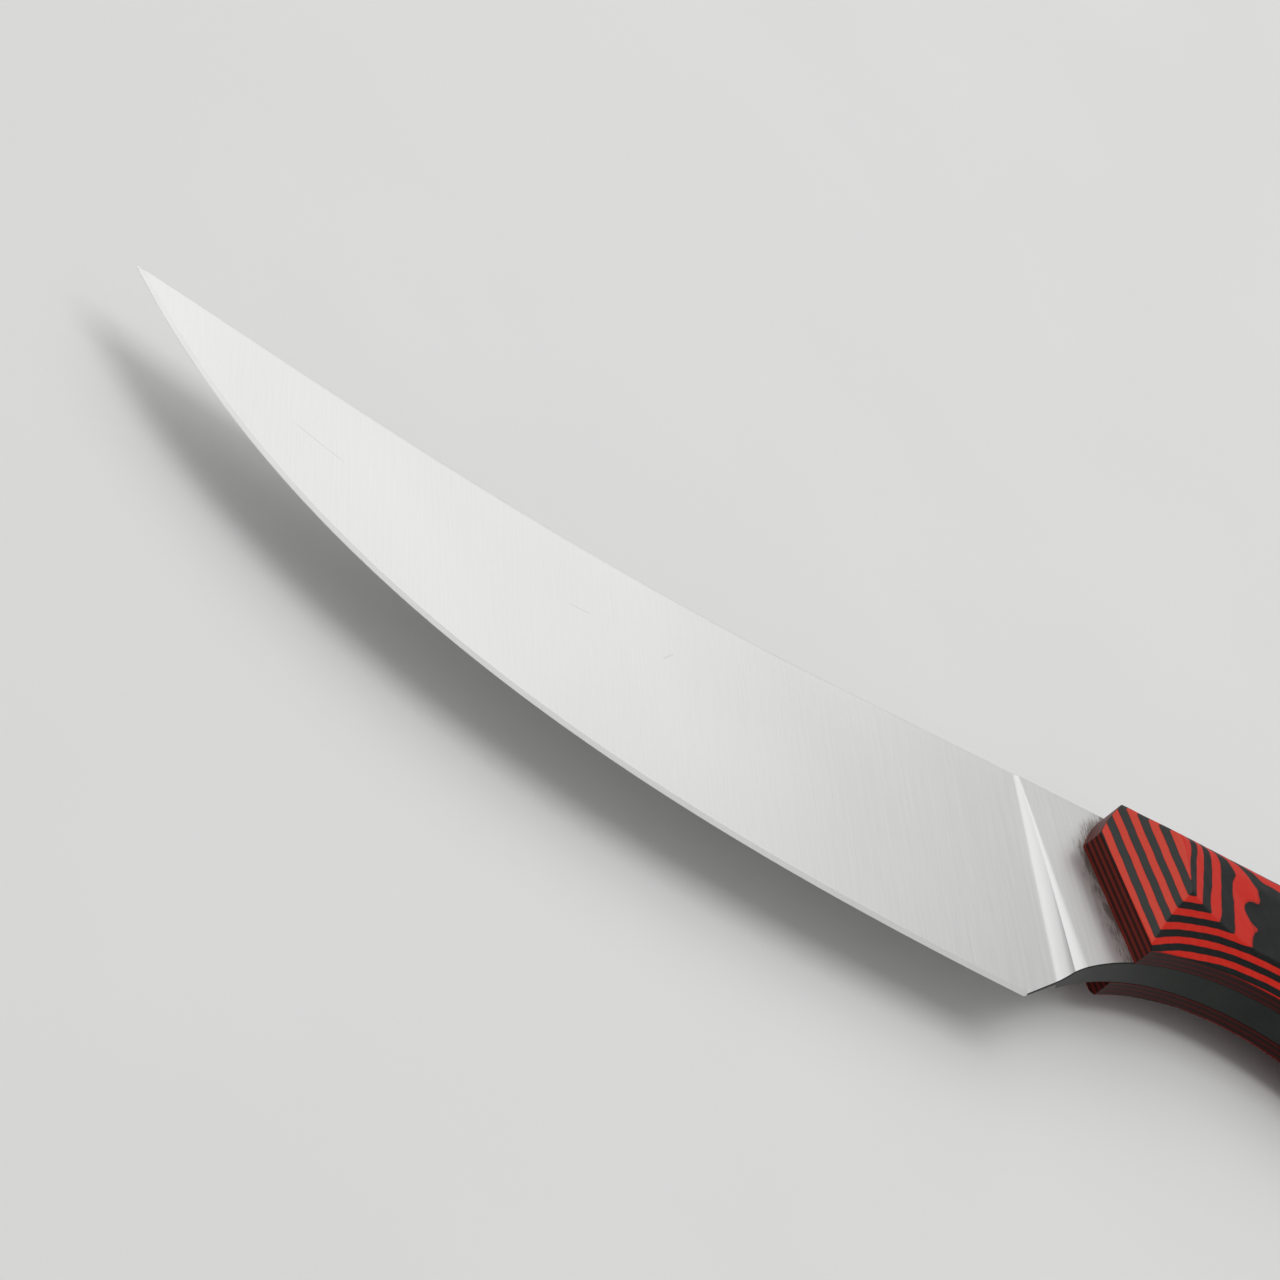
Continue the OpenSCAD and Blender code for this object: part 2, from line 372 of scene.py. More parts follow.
def sandedSheet(name, cloth, look):
    # pressed cloth sheets: mottled fibres, cut flecks of weave and a darker glue line at each face, with
    # painted sheen on the front facet and painted shade on the cut walls, darkest on the underside walls
    finish = Finish(name)
    x, y, z = place = finish.parts(finish.place())
    mottle = finish.noise(place, cloth["mottle"], 3.0, 0.6)
    fibre = finish.noise(place, cloth["fibre"], 3.0, 0.7)
    weave = (x * cloth["weave"]).math("SINE") * (y * cloth["weave"]).math("SINE") * 0.5 + 0.5
    relief = fibre * 0.7 + weave * 0.3
    layer = finish.attribute("layer")      # 0 at the sheet's inner face and 1 at its outer face
    glue = (layer.least(1 - layer) + (fibre - 0.5) * 0.12).ramp(cloth["glueShare"], 0.0)
    wall = finish.attribute("wall")        # 1 on the cut walls, 2 on the underside, where painted shade goes
    reach = cloth["hazeAndSheenReach"]
    # painted sheen with the sanding haze, on the front facet
    hazeAndSheen = (z.size() - frontFacet(x, y) - halfSteel).size().ramp(reach, reach / 4)
    # the cut walls' painted shade, broken by mottle
    cut = finish.mix(mottle * 0.4, look["wall"], look["deep"])
    colour = finish.mix(mottle.ramp(0.3, 0.75) * 0.35, look["base"], look["worn"])
    colour = finish.mix(relief.ramp(0.52, 0.78) * 0.3, colour, look["worn"])
    colour = finish.mix(hazeAndSheen * (fibre * 0.6 + 0.25), colour, look["hazyAndSheen"])
    colour = finish.mix(glue * 0.55, colour, look["deep"])
    # painted shade on the cut walls, and darker still on the underside walls
    colour = finish.mix(wall.ramp(0.2, 0.8), colour, cut)
    colour = finish.mix(wall.ramp(1.2, 1.8), colour, look["under"])
    return finish.dress({
        "Base Color": colour,
        "Specular IOR Level": look["specular"],
        "Roughness": (mottle - 0.5) * 0.12 + (fibre - 0.5) * 0.14 + look["roughness"],
        "Normal": finish.bump(relief, 0.35, 0.03),
    })


steelFace = satinSteel(steelLook)
spineFace = groundEdge("ground_spine", spineLook)
bevelFace = groundEdge("cutting_bevel", bevelLook)
# painted shade: the tang's underside steel is coloured nearly black
underShadeFace = groundEdge("tang_underside_shade", underShadeLook)
pinFace = groundEdge("sanded_pin", pinLook)
redFace = sandedSheet("red_sheet", clothLook, redLook)
blackFace = sandedSheet("black_sheet", clothLook, blackLook)
print("finishes made")


# The steel's outline and thickness, in millimetres and degrees
bladeShape = {
    "ricasso": 17.4,           # heel's corner to the scales' foremost point
    "straightSpine": 28.0,     # ahead of the heel, up to the wide arc
    "heelReach": 71.7,         # length and angle of the edge curve's arm at the heel
    "heelAngle": 1.9,
    "tipReach": 45.9,          # the same at the tip
    "tipAngle": 64.7,
    "edgeWidth": 0.1,          # thickness at the cutting edge, the spine and the bevel's shoulder
    "spineWidth": 4.4,
    "shoulderWidth": 0.5,
    "bevel": 0.8,              # height of the cutting bevel
    "plungeBack": 6.1,         # from the heel's corner to the start of the plunge, at leanDepth
    "plungeRadius": 3.4,       # of the grinding wheel's circle
    "plungeLean": 1.7,         # its top leans towards the tip
    "leanDepth": 13.0,
    "leastRise": 0.02,         # the plunge always lifts the grind at least this much
    "crestWidth": (0.3, 1.9),  # run over which the crest is eased at the spine, and its growth
    "crestDepth": 26.5,        # over this depth, by its power of 1.5
    "crestFall": 0.12,         # how far the eased crest falls, as a share of that run
    "easing": 0.18,            # radius of the rounded corners of the spine and the tang
    "easedShare": 0.8,         # the most of half the thickness that such a corner takes
    "waistX": 28.4,            # place, depth and radius of the underside's hollow
    "waistDepth": 22.3,
    "waistRadius": 64.5,
    "palmRadius": 60.0,        # radius of the swell between the hollow and the palm
    "edgeSteps": 1200,         # along the curve of the cutting edge, for its table of heights
    "bladeSteps": 220,         # columns of the mesh up to the heel
    "plungeSteps": (16, 32, 20, 12),       # between the five lines that plungeColumns works out
    "handleSteps": (149, 39),  # up to the butt's round end, and round it
    "cornerSteps": 5,          # rows over the bevel or over a rounded corner
    "flatSteps": 43,
    "merged": 0.002,           # points nearer than this become one
    "sharpTurn": 22.0,         # degrees between faces, past which their edge is sharp
}


def cubic(arms, t):
    # a Bezier curve: each arm weighted by its share of (1 - t + t) cubed
    weights = np.stack([(1 - t) ** 3, 3 * t * (1 - t) ** 2, 3 * t * t * (1 - t), t ** 3], axis=-1)
    return weights @ arms


class Outline:
    # the steel's underside and spine as heights over x, in millimetres
    def __init__(self, shape):
        self.shape = shape
        self.heel = np.array((-shape["ricasso"], heelDepth))
        point = np.array((tip.x, tip.y))
        tipLean = turned(shape["tipAngle"])
        heelLean = turned(shape["heelAngle"])
        self.arms = np.array((
            self.heel,
            self.heel + shape["heelReach"] * heelLean * (-1, 1),
            point + shape["tipReach"] * tipLean * (1, -1),
            point,
        ))
        self.waist = np.array((shape["waistX"], -shape["waistDepth"] - shape["waistRadius"]))
        reach = self.waist - self.heel
        touch = math.hypot(*reach)
        run = math.sqrt(touch ** 2 - shape["waistRadius"] ** 2)
        self.choilAngle = math.atan2(reach[1], reach[0]) + math.asin(shape["waistRadius"] / touch)
        self.choilEnd = self.heel[0] + run * math.cos(self.choilAngle)
        rise = shape["palmRadius"] - palmDepth - self.waist[1]
        both = shape["waistRadius"] + shape["palmRadius"]
        self.palmX = self.waist[0] + math.sqrt(both ** 2 - rise ** 2)
        self.meetX = self.waist[0] + (self.palmX - self.waist[0]) * shape["waistRadius"] / both
        self.butt = palmDepth / 2
        self.buttX = handleLength - self.butt
        self.sweepX = -shape["ricasso"] - shape["straightSpine"]
        self.sweepRadius = ((self.sweepX - tip.x) ** 2 + tip.y ** 2) / 2 / tip.y
        self.edge = cubic(self.arms, np.linspace(1, 0, shape["edgeSteps"] + 1))
        slope = np.gradient(self.edge[:, 1], self.edge[:, 0])
        self.stretch = np.hypot(1, slope)

    # edge curve, then the choil's tangent line, the waist's arc, the swell, the palm and the butt
    def under(self, x):
        shape = self.shape
        waist = np.sqrt(np.maximum(shape["waistRadius"] ** 2 - (x - self.waist[0]) ** 2, 0))
        swell = np.sqrt(np.maximum(shape["palmRadius"] ** 2 - (x - self.palmX) ** 2, 0))
        choil = self.heel[1] + (x - self.heel[0]) * math.tan(self.choilAngle)
        steps = [x < self.heel[0], x < self.choilEnd, x < self.meetX, x < self.palmX, x < self.buttX]
        curves = [
            np.interp(x, self.edge[:, 0], self.edge[:, 1]),
            choil,
            self.waist[1] + waist,
            shape["palmRadius"] - palmDepth - swell,
            np.full_like(x, -palmDepth),
        ]
        return np.select(steps, curves, -self.butt - self.buttHalf(x))

    # half the depth of the round end over x
    def buttHalf(self, x):
        return np.sqrt(np.maximum(self.butt ** 2 - np.maximum(x - self.buttX, 0) ** 2, 0))

    # a wide arc up to the tip, the straight spine and the butt's round end
    def spine(self, x):
        arc = self.sweepRadius - np.sqrt(self.sweepRadius ** 2 - np.minimum(x - self.sweepX, 0) ** 2)
        return np.where(x < self.buttX, arc, self.buttHalf(x) - self.butt)


class Steel:
    # half the steel's thickness over the outline: flat stock, flat grind, plunge and cutting bevel
    def __init__(self, shape):
        self.shape = shape
        self.outline = Outline(shape)
        self.heelX = self.outline.heel[0]
        self.grindRise = (shape["spineWidth"] - shape["shoulderWidth"]) / 2 / (-heelDepth - shape["bevel"])
        self.bevelRise = (shape["shoulderWidth"] - shape["edgeWidth"]) / 2 / shape["bevel"]

    # the flat grind thickens in a straight line from the bevel's shoulder to the spine
    def grind(self, x, y):
        inBlade = np.minimum(x, self.heelX)
        edgeY = np.interp(inBlade, self.outline.edge[:, 0], self.outline.edge[:, 1])
        stretch = np.interp(inBlade, self.outline.edge[:, 0], self.outline.stretch)
        shoulderY = edgeY + self.shape["bevel"] * stretch
        bevel = self.shape["edgeWidth"] / 2 + np.maximum(y - edgeY, 0) * self.bevelRise / stretch
        return self.shape["shoulderWidth"] / 2 + (y - shoulderY) * self.grindRise, bevel

    # where the plunge starts and crests at a depth, and how wide its eased crest is
    def plunge(self, y):
        shape = self.shape
        lean = math.tan(math.radians(shape["plungeLean"]))
        start = self.heelX + shape["plungeBack"] - (y + shape["leanDepth"]) * lean
        least, growth = shape["crestWidth"]
        width = least + growth * (np.maximum(-y, 0) / shape["crestDepth"]) ** 1.5
        radius = shape["plungeRadius"]
        rise = halfSteel - self.grind(self.heelX, y)[0] - width * shape["crestFall"]
        rise = np.clip(rise, shape["leastRise"], radius)
        return start, start + np.sqrt(radius ** 2 - (radius - rise) ** 2), width

    # the wheel's circle lifts the grind to the stock, whose edge there is eased by a parabola
    def half(self, x, y):
        shape = self.shape
        start, crest, width = self.plunge(y)
        grind, bevel = self.grind(x, y)
        radius = shape["plungeRadius"]
        past = np.clip(x - start, 0, radius)
        lift = radius - np.sqrt(radius ** 2 - past ** 2)
        left = np.clip(1 - (x - crest) / width, 0, 1)
        stock = halfSteel - width * shape["crestFall"] * left ** 2
        return np.minimum(np.minimum(grind, bevel) + lift, stock)

    # half the thickness less the quarter circles of the spine's and the tang's corners
    def easedHalf(self, x, y, easing):
        z = self.half(x, y)
        reach = np.maximum(easing, 1e-6)      # never zero, also at the tip and the butt
        toSpine = np.clip((self.outline.spine(x) - y) / reach, 0, 1)
        toUnder = np.clip((y - self.outline.under(x)) / reach, 0, 1)
        toUnder = np.where(x <= self.heelX, 1, toUnder)
        radius = np.minimum(easing, z * self.shape["easedShare"])
        atSpine = 1 - np.sqrt(1 - (1 - toSpine) ** 2)
        return z - radius * (atSpine + 1 - np.sqrt(1 - (1 - toUnder) ** 2))


class Rows:
    # where the points of a column lie between the underside and the spine: each height is the
    # sum of its shares of the bevel or rounded corner, the flat and the spine's corner
    def __init__(self, shape, outline):
        self.shape = shape
        self.outline = outline
        steps = np.linspace(0, 1, shape["cornerSteps"] + 1)
        flat = np.linspace(0, 1, shape["flatSteps"] + 1)[1:-1]
        corner = 1 - np.cos(steps * math.pi / 2)
        self.overBevel = np.concatenate((steps, 0 * flat + 1, 0 * steps + 1))
        self.overCorner = np.concatenate((corner, 0 * flat + 1, 0 * steps + 1))
        self.overFlat = np.concatenate((0 * steps, flat, 0 * steps + 1))
        self.overSpine = np.concatenate((0 * steps, 0 * flat, 1 - corner[::-1]))
        self.count = len(self.overFlat)

    def heights(self, x):
        outline = self.outline
        low = outline.under(x)
        depth = outline.spine(x) - low
        stretch = np.interp(x, outline.edge[:, 0], outline.stretch)
        bevel = np.minimum(self.shape["bevel"] * stretch, depth / 2)
        easing = np.minimum(self.shape["easing"], depth / 6)
        inBlade = x <= outline.heel[0]
        bottom = np.where(inBlade, bevel * self.overBevel, easing * self.overCorner)
        flat = depth - np.where(inBlade, bevel, easing) - easing
        return low + bottom + flat * self.overFlat + easing * self.overSpine, easing


def plungeColumns(shape, steel, rows):
    # Between heel and scales the columns follow the plunge: each point lies a set share of the way
    # between two of five lines, and a few rounds settle it, because the lines depend on its height
    shares = np.concatenate([
        first + np.linspace(0, 1, steps + 1)[1:]
        for first, steps in enumerate(shape["plungeSteps"])
    ])
    shares = np.repeat(shares[:, None], rows.count, axis=1)
    x = np.interp(shares, (0, len(shape["plungeSteps"])), (steel.heelX, 0))
    for _ in range(4):
        start, crest, width = steel.plunge(rows.heights(x)[0])
        lines = [0 * start + steel.heelX, start, crest, crest + width, 0 * start]
        spans = [(after - before) * np.clip(shares - k, 0, 1)
                 for k, (before, after) in enumerate(zip(lines, lines[1:]))]
        x = lines[0] + sum(spans)
    return x


def shellFaces(columns, rows):
    # quads over a grid and over its mirror image, joined along the underside and along the spine
    i, j = np.meshgrid(np.arange(columns - 1), np.arange(rows - 1), indexing="ij")
    first = (i * rows + j).ravel()
    side = np.stack((first, first + rows, first + rows + 1, first + 1), axis=-1)
    far = columns * rows
    ends = np.arange(columns - 1) * rows
    under = np.stack((ends, ends + far, ends + rows + far, ends + rows), axis=-1)
    spine = under[:, ::-1] + rows - 1
    return np.concatenate((side, side[:, ::-1] + far, under, spine))


def shellFinishes(shape, columns, rows):
    # the material slot of each of those faces
    flatSlot, spineSlot, bevelSlot, underShadeSlot = range(4)
    column, row = np.meshgrid(np.arange(columns - 1), np.arange(rows - 1), indexing="ij")
    # the tang's underside and the rounded corner above it take the painted shade
    atEdge = np.where(column <= shape["bladeSteps"], bevelSlot, underShadeSlot)
    side = np.where(row < shape["cornerSteps"], atEdge, flatSlot).ravel()
    under = np.where(np.arange(columns - 1) < shape["bladeSteps"], bevelSlot, underShadeSlot)
    return np.concatenate((side, side, under, np.full(columns - 1, spineSlot))).astype(np.int32)


def sharpenBetween(mesh, kinds):
    # an edge is sharp where the faces beside it are of different kinds
    edges = np.zeros(len(mesh.loops), np.int32)
    totals = np.zeros(len(mesh.polygons), np.int32)
    mesh.loops.foreach_get("edge_index", edges)
    mesh.polygons.foreach_get("loop_total", totals)
    beside = np.repeat(kinds.astype(int), totals)
    lowest = np.full(len(mesh.edges), beside.max())
    highest = np.zeros(len(mesh.edges), int)
    np.minimum.at(lowest, edges, beside)
    np.maximum.at(highest, edges, beside)
    marks = mesh.attributes.get("sharp_edge") or mesh.attributes.new("sharp_edge", "BOOLEAN", "EDGE")
    sharp = np.zeros(len(mesh.edges), bool)
    marks.data.foreach_get("value", sharp)
    marks.data.foreach_set("value", sharp | (lowest != highest))


def mergePoints(mesh, distance):
    # joins the grid's points that meet at the tip and at the butt
    work = bmesh.new()
    work.from_mesh(mesh)
    bmesh.ops.remove_doubles(work, verts=work.verts, dist=distance)
    bmesh.ops.dissolve_degenerate(work, edges=work.edges, dist=distance)
    bmesh.ops.recalc_face_normals(work, faces=work.faces)
    work.to_mesh(mesh)
    work.free()


def makeBlade(shape):
    # a grid of columns along the knife and rows from the edge to the spine, laid on both faces
    steel = Steel(shape)
    outline = steel.outline
    rows = Rows(shape, outline)
    bladeX = cubic(outline.arms, np.linspace(1, 0, shape["bladeSteps"] + 1))[:, 0]
    straight, aroundButt = (np.linspace(0, 1, steps + 1)[1:] for steps in shape["handleSteps"])
    roundX = outline.buttX + np.sin(aroundButt * math.pi / 2) * outline.butt
    handleX = np.concatenate((straight * outline.buttX, roundX))
    x = np.concatenate((
        np.repeat(bladeX[:, None], rows.count, axis=1),
        plungeColumns(shape, steel, rows),
        np.repeat(handleX[:, None], rows.count, axis=1),
    ))
    y, easing = rows.heights(x)
    left = np.stack((x, y, steel.easedHalf(x, y, easing)), axis=-1).reshape(-1, 3)
    points = np.concatenate((left, left * (1, 1, -1)))
    finishes = (steelFace, spineFace, bevelFace, underShadeFace)
    piece = newPiece("ground_blade", points, shellFaces(*x.shape).tolist(), finishes)
    mesh = piece.data
    mesh.polygons.foreach_set("material_index", shellFinishes(shape, *x.shape))
    mergePoints(mesh, shape["merged"] * mm)
    mesh.shade_smooth()
    mesh.set_sharp_from_angle(angle=math.radians(shape["sharpTurn"]))
    slots = np.zeros(len(mesh.polygons), np.int32)
    mesh.polygons.foreach_get("material_index", slots)
    sharpenBetween(mesh, slots)
    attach(piece, "root")
    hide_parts("blade")
    return piece


blade = makeBlade(bladeShape)
print("blade ground:", len(blade.data.polygons), "faces")


# The ground outside of a scale, in millimetres and degrees, with heights above the tang's face
handleShape = {
    "topWallRadius": 27.0,     # of the upper front wall
    "topRidge": 3.4,           # height of the facet along the top at the spine, and its slope
    "topSlope": 37.0,
    "waistRidge": 2.2,         # height of the waist's facet over a circle with this radius and x
    "underRadius": 48.0,
    "underX": 29.6,
    "underSlope": 27.3,        # slope of the waist's and the palm's facets
    "palmRidge": 3.0,          # height of the palm's facet at the underside
    "buttRidge": 3.2,          # height of the butt's facet at the butt
    "buttSlope": 12.0,
    "buttEnd": 60.0,           # degrees round the butt from its middle to the skin's corners
    "scoopRadius": 65.7,       # the drum's pass across: radius, x, height of its floor and turn
    "scoopX": 34.0,
    "scoopFloor": 4.43,
    "scoopTurn": 17.1,
    "easeRadius": 63.0,        # the same for the pass that eases it, which is tilted too
    "easeX": 27.6,
    "easeFloor": 5.28,
    "easeTurn": 32.5,
    "easeTilt": 8.5,
    "crest": 0.14,             # how close two facets come before their ridge is rounded off
    "roll": 0.5,               # the same along the top, which is sanded softer
    "arris": 0.14,             # radius of the rounded edge round the outline
    "arrisSteps": 4,
    "fineCell": 0.2,           # size of the mesh's cells
    "wideCell": 0.55,
    "fineEnd": 48.0,           # the fine cells end this far behind the front walls
    "boreSides": 64,
    "boreGap": 0.02,           # between a pin and its bore
    "boreEnds": (-1, 11),      # heights that the cutting bars reach, past both faces of a scale
    "waves": [                 # height, radians per millimetre along x and along y, and phase
        (0.018, 0.55, 0.35, 0.4),
        (0.014, -0.8, 1.1, 2.1),
        (0.010, 1.9, 0.6, 4.0),
        (0.005, 1.2, -2.6, 1.2),
        (0.002, 3.7, 2.9, 5.1),
    ],
    "knots": [                 # lumps in the sheets: place, reach and height
        (28.1, -9.7, 2.4, -0.20),
        (27.0, -16.6, 2.0, -0.08),
        (29.6, -3.4, 1.6, 0.05),
    ],
}


def smoothLeast(a, b, width):
    # the lower of two heights, less a quarter of width where they are level, so the ridge is round
    near = np.maximum(width - np.abs(a - b), 0) / width
    return np.minimum(a, b) - near * near * width / 4


# Height of a scale above the tang: the least of its flat side, five sloping facets and two
# round passes of a drum, one across the handle and one that eases it towards the spine
def scaleHeight(shape, x, y, flat):
    level = y + scaleFront["apexDrop"]
    top = shape["topRidge"] - math.tan(math.radians(shape["topSlope"])) * y
    rise = math.tan(math.radians(shape["underSlope"]))
    palm = shape["palmRidge"] + rise * (y + palmDepth)
    waistY = -shape["underRadius"] - bladeShape["waistDepth"]
    waist = shape["waistRidge"] + rise * (
        np.hypot(x - shape["underX"], y - waistY) - shape["underRadius"])
    butt = shape["buttRidge"] + math.tan(math.radians(shape["buttSlope"])) * (handleLength - x)
    c, s = turned(shape["scoopTurn"])
    across = (x - shape["scoopX"]) * c - level * s
    drum = shape["scoopRadius"] ** 2 - across ** 2
    scoop = shape["scoopFloor"] + shape["scoopRadius"] - np.sqrt(np.maximum(drum, 0))
    c, s = turned(shape["easeTurn"])
    across = (x - shape["easeX"]) * c - level * s
    run = (x - shape["easeX"]) * s + level * c
    drum = np.sqrt(np.maximum(shape["easeRadius"] ** 2 - across ** 2, 0))
    tilt = math.radians(shape["easeTilt"])
    ease = shape["easeFloor"] - math.tan(tilt) * run + (shape["easeRadius"] - drum) / math.cos(tilt)
    hollow = smoothLeast(scoop, ease, shape["crest"])
    ends = smoothLeast(frontFacet(x, y), butt, shape["crest"])
    side = smoothLeast(ends, flat, shape["crest"])
    under = smoothLeast(palm, waist, shape["crest"])
    body = smoothLeast(smoothLeast(side, hollow, shape["crest"]), top, shape["roll"])
    return smoothLeast(body, under, shape["crest"])


def wander(shape, x, y):
    # a sum of sine waves over the sheet, with a bell for each knot
    total = np.zeros_like(x)
    for height, turnX, turnY, phase in shape["waves"]:
        total += height * np.sin(turnX * x + turnY * y + phase)
    for knotX, knotY, reach, height in shape["knots"]:
        total += height * np.exp(-((x - knotX) ** 2 + (y - knotY) ** 2) / reach ** 2)
    return total


def frontCorner(outline):
    # where the lower front wall meets the underside, found by going back and forth between them
    lean = math.tan(math.radians(scaleFront["wallLean"]))
    x = np.zeros(1)
    for _ in range(20):
        y = outline.under(x)
        x = -lean * (y + scaleFront["apexDrop"])
    return np.concatenate((x, y))


def frontWalls(shape, corner, shares):
    # a flat wall up to the foremost point, then an arc to the spine that bulges off its chord
    apex = np.array((0.0, -scaleFront["apexDrop"]))
    upper = np.array((scaleFront["topLead"], 0.0))
    radius = shape["topWallRadius"]
    lower = math.dist(apex, corner)
    reach = math.dist(apex, upper)
    turn = 2 * math.asin(reach / 2 / radius)
    path = shares[:, None] * (lower + radius * turn)
    chord = (upper - apex) / reach
    inward = np.array((chord[1], -chord[0]))
    centre = (apex + upper) / 2 + inward * radius * math.cos(turn / 2)
    swing = np.maximum(path - lower, 0) / radius - turn / 2
    arc = centre + radius * (np.sin(swing) * chord - np.cos(swing) * inward)
    flat = corner + (apex - corner) * np.minimum(path, lower) / lower
    return np.where(path < lower, flat, arc)


def arrisTurn(shape):
    # the angles of a rounded arris from its foot to its top
    return np.linspace(0, math.pi / 2, shape["arrisSteps"] + 1)


def skinSteps(shape, run):
    # shares of a run: close steps over both arrises, fine cells up to fineEnd and wide ones behind
    arris = shape["arris"] * (1 - np.cos(arrisTurn(shape)))
    cell = shape["fineCell"]
    fine = np.arange(shape["arris"] + cell, min(shape["fineEnd"], run - 2 * cell), cell)
    wide = np.arange(shape["fineEnd"], run - shape["wideCell"], shape["wideCell"])
    return np.concatenate((arris, fine, wide, run - arris[::-1])) / run


def makeSkin(shape, outline, flat):
    # A patch between four curves: the front walls, the underside, the butt and the spine. Each
    # point is the sum of its places between both pairs of curves, less that between the corners.
    corner = frontCorner(outline)
    topLead = scaleFront["topLead"]
    buttEnd = outline.buttX + outline.butt * math.cos(math.radians(shape["buttEnd"]))
    u = skinSteps(shape, buttEnd - topLead)
    v = skinSteps(shape, -corner[1])
    lowX = corner[0] + (buttEnd - corner[0]) * u
    highX = topLead + (buttEnd - topLead) * u
    low = np.stack((lowX, outline.under(lowX)), axis=-1)
    high = np.stack((highX, outline.spine(highX)), axis=-1)
    wall = frontWalls(shape, corner, v)
    swing = np.radians(shape["buttEnd"] * (2 * v - 1))
    butt = np.stack((np.cos(swing), np.sin(swing)), axis=-1) * outline.butt
    butt += (outline.buttX, -outline.butt)
    back = u[:, None, None]
    up = v[None, :, None]
    between = (1 - up) * low[:, None] + up * high[:, None] + (1 - back) * wall + back * butt
    corners = (1 - back) * ((1 - up) * low[0] + up * high[0])
    corners += back * ((1 - up) * low[-1] + up * high[-1])
    x, y = np.moveaxis(between - corners, -1, 0)
    fall = shape["arris"] * (1 - np.sin(arrisTurn(shape)))
    i, j = np.indices(x.shape)
    ring = np.minimum(np.minimum(i, i[::-1]), np.minimum(j, j[:, ::-1]))
    z = scaleHeight(shape, x, y, flat) - fall[np.minimum(ring, shape["arrisSteps"])]
    return closeSkin(np.stack((x, y, z), axis=-1))


def closeSkin(patch):
    # walls from the patch's rim down to a flat foot, and their mark, by which the finish paints shade on
    # them
    n, m = patch.shape[:2]
    grid = np.arange(n * m).reshape(n, m)
    cells = np.stack((grid[:-1, :-1], grid[1:, :-1], grid[1:, 1:], grid[:-1, 1:]), axis=-1).reshape(-1, 4)
    rim = np.concatenate((grid[:-1, 0], grid[-1, :-1], grid[:0:-1, -1], grid[0, :0:-1]))
    foot = n * m + np.arange(len(rim))
    walls = np.stack((rim, foot, np.roll(foot, -1), np.roll(rim, -1)), axis=-1)
    points = patch.reshape(-1, 3)
    points = np.concatenate((points, points[rim] * (1, 1, 0)))
    mesh = bpy.data.meshes.new("skin")
    mesh.from_pydata(points.tolist(), [], cells.tolist() + walls.tolist() + [foot[::-1].tolist()])
    onWall = np.zeros(len(points), np.float32)
    onWall[rim] = 1
    onWall[foot] = 1
    onWall[rim[:n]] = 2     # the underside
    onWall[foot[:n]] = 2
    mesh.attributes.new("wall", "FLOAT", "POINT").data.foreach_set("value", onWall)
    mesh.update()
    return mesh


def boreSkin(shape, mesh):
    # cuts both bores, sized for the front pin and its gap, with bars that reach past both faces
    around = np.linspace(0, 2 * math.pi, shape["boreSides"] + 1)[:-1]
    pins = [[inKnife(corner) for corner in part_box(node)] for node in ("front_pin", "rear_pin")]
    radius = (pins[0][1].x - pins[0][0].x) / 2 + shape["boreGap"]
    circle = np.stack((np.cos(around), np.sin(around)), axis=-1) * radius
    sides = len(circle)
    points = []
    faces = []
    for index, (low, high) in enumerate(pins):
        ring = circle + ((low.x + high.x) / 2, (low.y + high.y) / 2)
        points += [np.insert(ring, 2, height, axis=1) for height in shape["boreEnds"]]
        base = index * 2 * sides + np.arange(sides)
        ahead = np.roll(base, -1)
        faces += np.stack((base, ahead, ahead + sides, base + sides), axis=-1).tolist()
        faces += [base[::-1].tolist(), (base + sides).tolist()]
    bars = bpy.data.meshes.new("bores")
    bars.from_pydata(np.concatenate(points).tolist(), [], faces)
    cutter = bpy.data.objects.new("bores", bars)
    holder = bpy.data.objects.new("skin", mesh)
    for made in (cutter, holder):
        bpy.context.scene.collection.objects.link(made)
    cut = holder.modifiers.new("bores", "BOOLEAN")
    cut.operation = "DIFFERENCE"
    cut.solver = "EXACT"
    cut.object = cutter
    bored = bpy.data.meshes.new_from_object(holder.evaluated_get(bpy.context.evaluated_depsgraph_get()))
    for made in (cutter, holder):
        bpy.data.objects.remove(made)
    return bored


def placesOf(mesh):
    # the points of a mesh as the rows of an array
    points = np.zeros(len(mesh.vertices) * 3)
    mesh.vertices.foreach_get("co", points)
    return points.reshape(-1, 3)


def pressSkin(shape, mesh, count, sheet):
    # lifts the skin by the sheets' wander, less within a sheet of the tang and of the flat side
    points = placesOf(mesh)
    layers = points[:, 2] / sheet
    inside = np.clip(layers, 0, 1) * np.clip(count - layers, 0, 1)
    points[:, 2] += wander(shape, points[:, 0], points[:, 1]) * inside
    mesh.vertices.foreach_set("co", points.ravel())


def sawSheets(skin, count, sheet):
    # saws a closed skin at each glue face and closes both sides of every cut with flat faces
    sheets = []
    rest = skin
    for index in range(1, count):
        lower = rest.copy()
        for part, away in ((lower, "clear_outer"), (rest, "clear_inner")):
            everything = part.verts[:] + part.edges[:] + part.faces[:]
            cut = bmesh.ops.bisect_plane(part, geom=everything, dist=1e-5, plane_co=(0, 0, index * sheet),
                                         plane_no=(0, 0, 1), **{away: True})["geom_cut"]
            rim = [e for e in cut if isinstance(e, bmesh.types.BMEdge) and e.is_boundary]
            outward = (0, 0, 1 if part is lower else -1)
            bmesh.ops.triangle_fill(part, use_beauty=True, edges=rim, normal=outward)
        sheets.append(lower)
    return sheets + [rest]


def sheetMesh(part, index, count, sheet):
    # one sheet's mesh, with its layer attribute and sharp edges round both of its glue faces
    mesh = bpy.data.meshes.new("sheet")
    part.to_mesh(mesh)
    part.free()
    layer = placesOf(mesh)[:, 2] / sheet - index
    if index == count - 1:
        layer = np.minimum(layer, 0.5)     # no glue on the outer face
    layers = mesh.attributes.new("layer", "FLOAT", "POINT")
    layers.data.foreach_set("value", layer.astype(np.float32))
    mesh.shade_smooth()
    centres = np.zeros(len(mesh.polygons) * 3)
    mesh.polygons.foreach_get("center", centres)
    heights = centres[2::3] / sheet
    sharpenBetween(mesh, np.abs(heights - np.round(heights)) < 1e-4)
    return mesh


